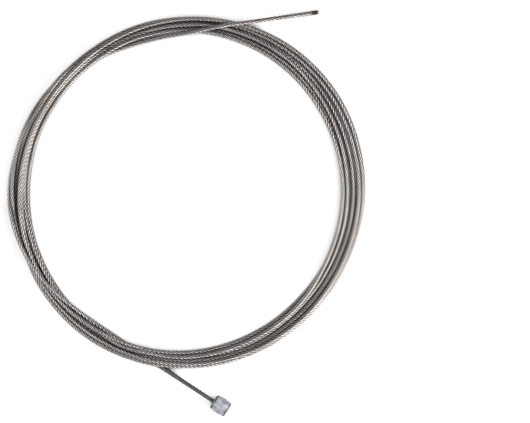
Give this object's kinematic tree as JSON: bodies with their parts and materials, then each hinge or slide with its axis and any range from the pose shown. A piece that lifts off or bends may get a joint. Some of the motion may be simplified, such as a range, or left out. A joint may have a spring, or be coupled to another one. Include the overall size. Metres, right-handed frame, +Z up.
{
  "type": "shift cable",
  "caption": "Stranded steel inner wire for a bicycle gear shifter, with a cylindrical head on one end and a bare fused tip, wound into a flat round coil.",
  "frame": {"origin": "on the surface that the coil lies on, under the middle of the whole object's box", "axes": "+Z up out of the surface; +Y along the longest side, from the head towards the tip; +X to the right, so that the coil is seen as in a plan view"},
  "size_m": [0.107, 0.1207, 0.0044],
  "materials": {
    "steel_wire": "bare drawn stainless steel wires, laid right-handed, satin, slightly warm grey",
    "head_metal": "cast and plated, satin, bright with a bluish cast"
  },
  "bodies": {
    "root": {"cable_head": "head_metal", "head_lead": "steel_wire", "coil": "steel_wire", "tail": "steel_wire"}
  },
  "joints": []
}
